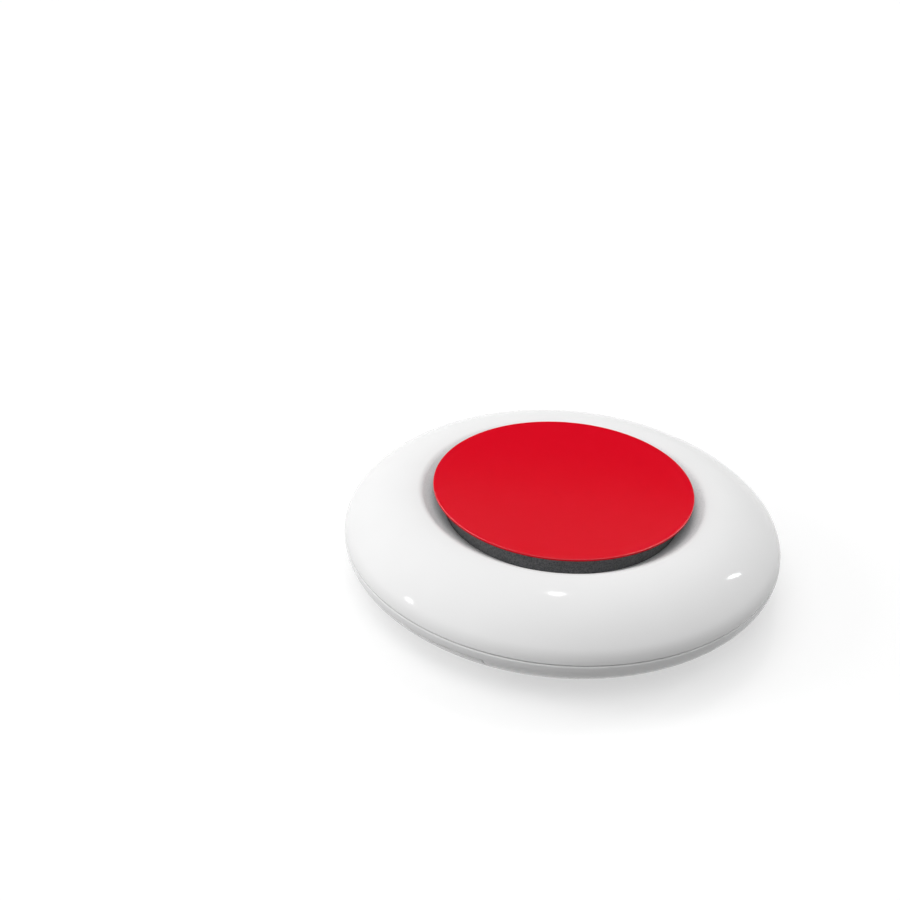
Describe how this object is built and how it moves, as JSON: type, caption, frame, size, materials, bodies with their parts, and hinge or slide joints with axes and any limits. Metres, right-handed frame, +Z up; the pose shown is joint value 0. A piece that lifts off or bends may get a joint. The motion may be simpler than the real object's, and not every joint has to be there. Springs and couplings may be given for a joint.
{
  "type": "emergency call button",
  "caption": "Round wireless call button: a low two-shell puck with a large press disc in a dished top and a sliding battery cover underneath.",
  "frame": {"origin": "centre of the flat rest face, on the axis of the round body", "axes": "+Z up along the axis of the body and of the press disc; the battery cover slides off towards -Y"},
  "size_m": [0.08, 0.08, 0.0185],
  "materials": {
    "shell_white": "white moulded ABS with a high gloss",
    "cover_white": "white moulded ABS, gloss on the door and a fine matt texture on the flat disc",
    "cap_red": "red moulded disc with a soft satin gloss",
    "skirt_grey": "dark grey moulded plastic with a fine grain",
    "film_clear": "adhesive film, satin",
    "screw_steel": "zinc-plated steel",
    "spring_steel": "spring steel wire",
    "board_green": "green solder mask",
    "moulded_black": "black moulded resin",
    "stem_red": "red moulded resin",
    "cell_steel": "nickel-plated steel",
    "contact_brass": "plated spring brass",
    "can_tin": "tinned steel",
    "ceramic_tan": "chip ceramic with tinned ends"
  },
  "bodies": {
    "housing": {"top_shell": "shell_white", "bottom_shell": "shell_white", "shell_screws": "screw_steel", "circuit_board": "board_green", "board_screws": "screw_steel", "switch_body": "moulded_black", "switch_plate": "can_tin", "return_springs": "spring_steel", "cell_can": "cell_steel", "cell_seal": "moulded_black", "cell_lid": "cell_steel", "contact_positive": "contact_brass", "contact_negative": "contact_brass", "radio_board": "board_green", "radio_can": "can_tin", "controller_chip": "moulded_black", "crystal": "can_tin", "chip_capacitors": "ceramic_tan", "antenna_wire": "contact_brass"},
    "button": {"red_cap": "cap_red", "cap_film": "film_clear", "plunger": "skirt_grey"},
    "switch_stem": {"switch_stem": "stem_red"},
    "battery_cover": {"battery_cover": "cover_white"}
  },
  "joints": [
    {"name": "button_press", "type": "slide", "parent": "housing", "child": "button", "axis": [0, 0, -1], "range_m": [0, 0.0012], "stiffness_N_per_m": 800, "springref_m": -0.0015, "deforming": ["return_springs"]},
    {"name": "stem_press", "type": "slide", "parent": "housing", "child": "switch_stem", "axis": [0, 0, -1], "range_m": [0, 0.0003]},
    {"name": "cover_slide", "type": "slide", "parent": "housing", "child": "battery_cover", "axis": [0, -1, 0], "range_m": [0, 0.06]}
  ],
  "couplings": [
    {"joint": "stem_press", "follows": "button_press", "ratio": 0.25}
  ]
}
